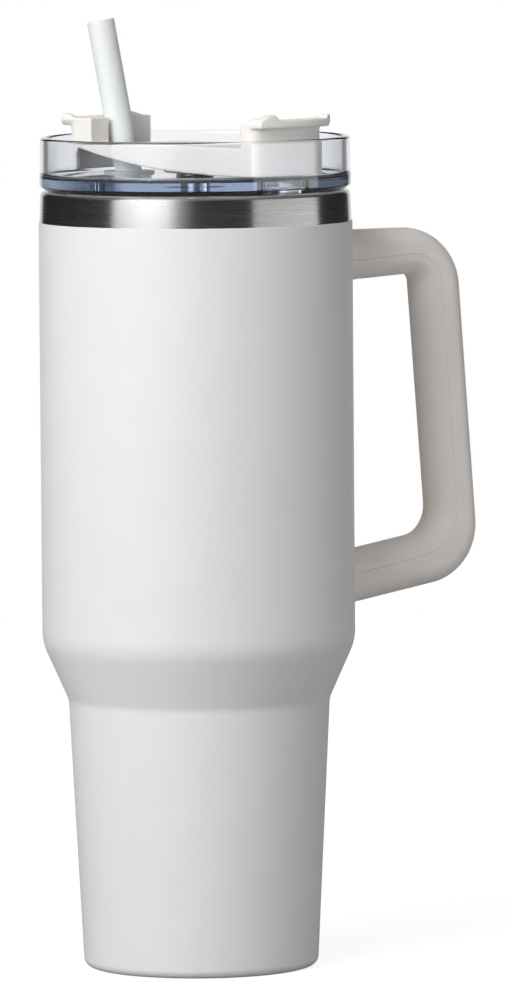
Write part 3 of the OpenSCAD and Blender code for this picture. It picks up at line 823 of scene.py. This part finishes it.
# %% [markdown]
# ## Halves of the handle
#
# The two mouldings meet on a line round the handle's side. Each has a very small bevel there,
# so that the line shows faintly. Inside, both are hollow, with a wall of even thickness. A loft
# needs as many points on its inner skin as on its outer one, so the inner half's straight sides
# are given a few more.

# %% Halves of the handle
seam_gap, bevel = 0.02, 0.12
step_deep, inner_step, side_steps = 1, 0.5, 3
inside = half_w - grip_wall


def both_sides(points):
    """The points on the far side of the handle, and the same on the near side in turn."""
    return [(-s, d, "inner") for s, d in points], [(s, d, "inner") for s, d in points[::-1]]


first, last = both_sides([(half_w - bevel, part_line + seam_gap),
                          (half_w, part_line + seam_gap + bevel)])
outer_face = first + crown_half(crown_out, half_w) + last
first, last = both_sides([(inside, part_line + seam_gap), (inside, part_line + step_deep)])
outer_back = (first + crown_half(crown_out - grip_wall, inside) + last)[::-1]
handle_outer = loft("handle_outer", outer_face + outer_back, grip_plastic)
stands_for(handle_outer, "cup", "handle_plastic", "handle_cover")

first, last = both_sides([(half_w - bevel, part_line - seam_gap),
                          (half_w, part_line - seam_gap - bevel), (half_w, crown_in + 0.4)])
inner_face = first + shallow_crown(half_w - 0.25, crown_in - 0.1, 0) + last
side_z = [part_line - seam_gap - (inner_step - seam_gap) * k / side_steps
          for k in range(side_steps + 1)]
first, last = both_sides([(inside, z) for z in side_z])
inner_crown = shallow_crown(inside, crown_in - 1.4, grip_wall)[1:-1]
inner_back = (first + inner_crown + last)[::-1]
handle_inner = loft("handle_inner", inner_face + inner_back, grip_plastic)
stands_for(handle_inner, "cup", "handle_plastic", "handle_core")

# %% [markdown]
# ## Clear lid
#
# The lid's base and its ring are welded, so light passes from one to the other without a
# surface between them. They are therefore one closed outline here: a plug that goes into the
# cup, a flange that rests on the rim, and a tall ring. Every edge has a small radius, because
# polished edges are what catch the light. The openings are then cut with booleans.

# %% Clear lid
floor_z, floor_t = rim_z + 4.7, 2.5
under_z = floor_z - floor_t
boss_r, boss_low, boss_top = 6.0, floor_z - 7.6, floor_z + 1
pivot_hole, pocket_r, pocket_z = 3.05, 5.1, boss_top - 1.7
plug_r, plug_in = liner_r - 1, liner_r - 3.4
groove_z, groove_top = plug_z + 3.4, plug_z + 8
groove_r = plug_r - 1.2
flange_z = rim_z + 0.5
flange_in, flange_up = lid_r - 2.2, flange_z + 1.6
ring_r = lid_r - 0.2
ring_in = ring_r - 2.3
ring_draft, floor_slope = 0.15, 1.6
lid_outline = rounded([
    (pivot_hole, boss_low, 0.2), (boss_r, boss_low, 0.4), (boss_r, under_z, 0.6),
    (plug_in, under_z, 1.0), (plug_in, plug_z, 0.4), (plug_r, plug_z, 0.7),
    (plug_r, groove_z, 0.15), (groove_r, groove_z, 0.2), (groove_r, groove_top, 0.2),
    (plug_r, groove_top, 0.15), (plug_r, flange_z, 0.5), (flange_in, flange_z, 0.8),
    (lid_r, flange_up, 0.8), (lid_r, flange_top, 0.15), (ring_r, flange_top, 0.15),
    (ring_r - ring_draft, lid_top, 0.9), (ring_in, lid_top, 0.9), (ring_in, flange_top, 1.2),
    (ring_in - floor_slope, floor_z, 1.0), (boss_r, floor_z, 0.3), (boss_r, boss_top, 0.3),
    (pocket_r, boss_top, 0.2), (pocket_r, pocket_z, 0.2), (pivot_hole, pocket_z, 0.2)],
    closed=True, steps=5)
lid = turned("lid", held(lid_outline), clear_lid, 40)
print(f"lid {lid_top - plug_z:.1f} mm tall, with a floor of {floor_t} mm")

# %% [markdown]
# ## Openings in the lid
#
# The drinking slot and the straw's hole are milled or moulded straight through the lid's floor.
# Each is cut here by a straight prism over its outline, with an exact boolean.

# %% Openings in the lid


def prism(outline, low, high):
    """A straight cutter over an outline, in millimetres."""
    mesh = bpy.data.meshes.new("cutter")
    count = len(outline)
    places = [(x * MM, y * MM, z * MM) for z in (low, high) for x, y in outline]
    walls = [(k, (k + 1) % count, count + (k + 1) % count, count + k) for k in range(count)]
    mesh.from_pydata(places, [], [tuple(range(count))[::-1], tuple(range(count, 2 * count))] + walls)
    cutter = bpy.data.objects.new("cutter", mesh)
    bpy.context.scene.collection.objects.link(cutter)
    return cutter


def circle_at(centre, radius, first=0.0, sweep=360.0, steps=48):
    """Points round a centre, in millimetres."""
    turns = [math.radians(first + sweep * k / steps) for k in range(steps + (sweep < 360))]
    return [(centre[0] + radius * math.cos(t), centre[1] + radius * math.sin(t)) for t in turns]


def cut(piece, cutter):
    """Takes the cutter away from the piece."""
    modifier = piece.modifiers.new("cut", "BOOLEAN")
    modifier.object = cutter
    modifier.operation = "DIFFERENCE"
    modifier.solver = "EXACT"
    evaluated = piece.evaluated_get(bpy.context.evaluated_depsgraph_get())
    mesh = bpy.data.meshes.new_from_object(evaluated)
    piece.modifiers.remove(modifier)
    piece.data = mesh
    bpy.data.objects.remove(cutter)


def about(turn, points):
    """Points turned round the cup's axis."""
    return [(x * math.cos(turn) - y * math.sin(turn), x * math.sin(turn) + y * math.cos(turn))
            for x, y in points]


sip_turn = math.radians(105 + 180)
sip_r, sip_half, sip_mid = 4.5, 4.0, 34.0
seal_r, cut_past = 7.0, 1.0
sip_shape = circle_at((sip_mid, sip_half), sip_r, 0, 180, 24)
sip_shape += circle_at((sip_mid, -sip_half), sip_r, 180, 180, 24)
cut(lid, prism(about(sip_turn, sip_shape), under_z - cut_past, floor_z + cut_past))
seal_low, seal_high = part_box("straw_seal")[0] / MM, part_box("straw_seal")[1] / MM
seal_centre = ((seal_low.x + seal_high.x) / 2, (seal_low.y + seal_high.y) / 2)
cut(lid, prism(circle_at(seal_centre, seal_r), under_z - cut_past, floor_z + cut_past))
settle(lid, 40)
stands_for(lid, "lid", "clear_plastic", "lid_base", "lid_ring")

# %% [markdown]
# ## Seals and the cover's cap
#
# The gasket is a soft ring with two lips. It and the small round cap over the pivot screw are
# turned pieces, so the same tree makes them.

# %% Seals and the cover's cap
lip_r = radius_of("lid_gasket")
lip_low_z, lip_high_z = groove_z + 1.2, groove_z + 3.6
waist_low_z, waist_high_z = groove_z + 1.8, groove_z + 2.8
lip_foot_r = plug_r - 0.2
gasket = turned("gasket", rounded([
    (groove_r, groove_z, 0.1), (lip_foot_r, groove_z, 0.2), (lip_r, lip_low_z, 0.3),
    (plug_r, waist_low_z, 0.3), (plug_r, waist_high_z, 0.3), (lip_r, lip_high_z, 0.3),
    (lip_foot_r, groove_top, 0.2), (groove_r, groove_top, 0.1)], closed=True), silicone)
stands_for(gasket, "lid", "silicone", "lid_gasket")

cap_r = radius_of("cover_cap")
cap_low, cap_high = low_high("cover_cap")
cap_side, cap_shoulder = cap_high - 0.6, cap_high - 0.15
cap = turned("pivot_cap", rounded([
    (0, cap_low), (cap_r, cap_low, 0.1), (cap_r, cap_side, 0.2), (cap_r - 1.5, cap_shoulder, 2),
    (0, cap_high)]), cover_plastic)
stands_for(cap, "cover", "cover_plastic", "cover_cap")

# %% [markdown]
# ## Cover
#
# The cover is one moulding: a band across the lid, a deep block and a thumb tab at each end,
# and a notch for the straw. A mould gives every edge a radius of about half a millimetre. The
# frame's cover has the right shape with bare edges. Its copy could be bevelled edge by edge,
# but where many short edges meet, a bevel folds. So it is remade of small voxels and relaxed,
# which rounds every edge alike and leaves the flats flat.

# %% Cover
voxel_mm = 0.42
cover = bpy.data.objects.new("cover", nodes["cover_body"].data.copy())
bpy.context.scene.collection.objects.link(cover)
settle(cover, 30, 0.000005)
remesh = cover.modifiers.new("voxels", "REMESH")
remesh.mode = "VOXEL"
remesh.voxel_size = voxel_mm * MM
relax = cover.modifiers.new("relax", "SMOOTH")
relax.factor = 0.5
relax.iterations = 4
evaluated = cover.evaluated_get(bpy.context.evaluated_depsgraph_get())
cover_mesh = bpy.data.meshes.new_from_object(evaluated)
cover.modifiers.clear()
cover.data = cover_mesh
cover.data.materials.clear()
cover.data.materials.append(cover_plastic)
cover.data.shade_smooth()
stands_for(cover, "cover", "cover_plastic", "cover_body")

# %% [markdown]
# ## Straw
#
# A drinking straw is an extruded tube whose cut ends are tumbled until they are round. It is
# turned upright by the same tree, and then its mesh is leaned about the point where its axis
# crosses the lid's floor.

# %% Straw
straw_r, straw_wall = 4.4, 0.8
straw_len, straw_above = 298.0, 50.0
lean, lean_turn = math.radians(9.9), math.radians(139.2)
foot_x, foot_y = -7.62, 29.8
straw_foot = Vector((foot_x, foot_y, floor_z)) * MM
straw = turned("straw", rounded([
    (straw_r - straw_wall, straw_above - straw_len, 0.35), (straw_r, straw_above - straw_len, 0.35),
    (straw_r, straw_above, 0.35), (straw_r - straw_wall, straw_above, 0.35)],
    closed=True, steps=4), frosted)
leaned = Matrix.Rotation(lean_turn, 4, "Z") @ Matrix.Rotation(lean, 4, "Y")
straw.data.transform(Matrix.Translation(straw_foot) @ leaned)
stands_for(straw, "straw", "straw_plastic", "straw_tube")

# %% [markdown]
# ## Parts that keep the frame's shape
#
# Brackets, screws, washers, pads and the parts inside the wall are already right, so they
# keep their meshes and get their real finishes.

# %% Parts that keep the frame's shape
kept = {
    "foil_shield": copper, "getter": pill, "vacuum_plug": bead, "upper_bracket": fastener,
    "lower_bracket": fastener, "handle_screws": fastener, "straw_seal": silicone,
    "pivot_oring": black_rubber, "sip_pad": silicone, "pivot_screw": fastener,
    "pivot_washer": fastener, "pivot_nut": fastener,
}
for name, finish in kept.items():
    for slot in nodes[name].material_slots:
        slot.material = finish
print("kept nodes:", len(kept))
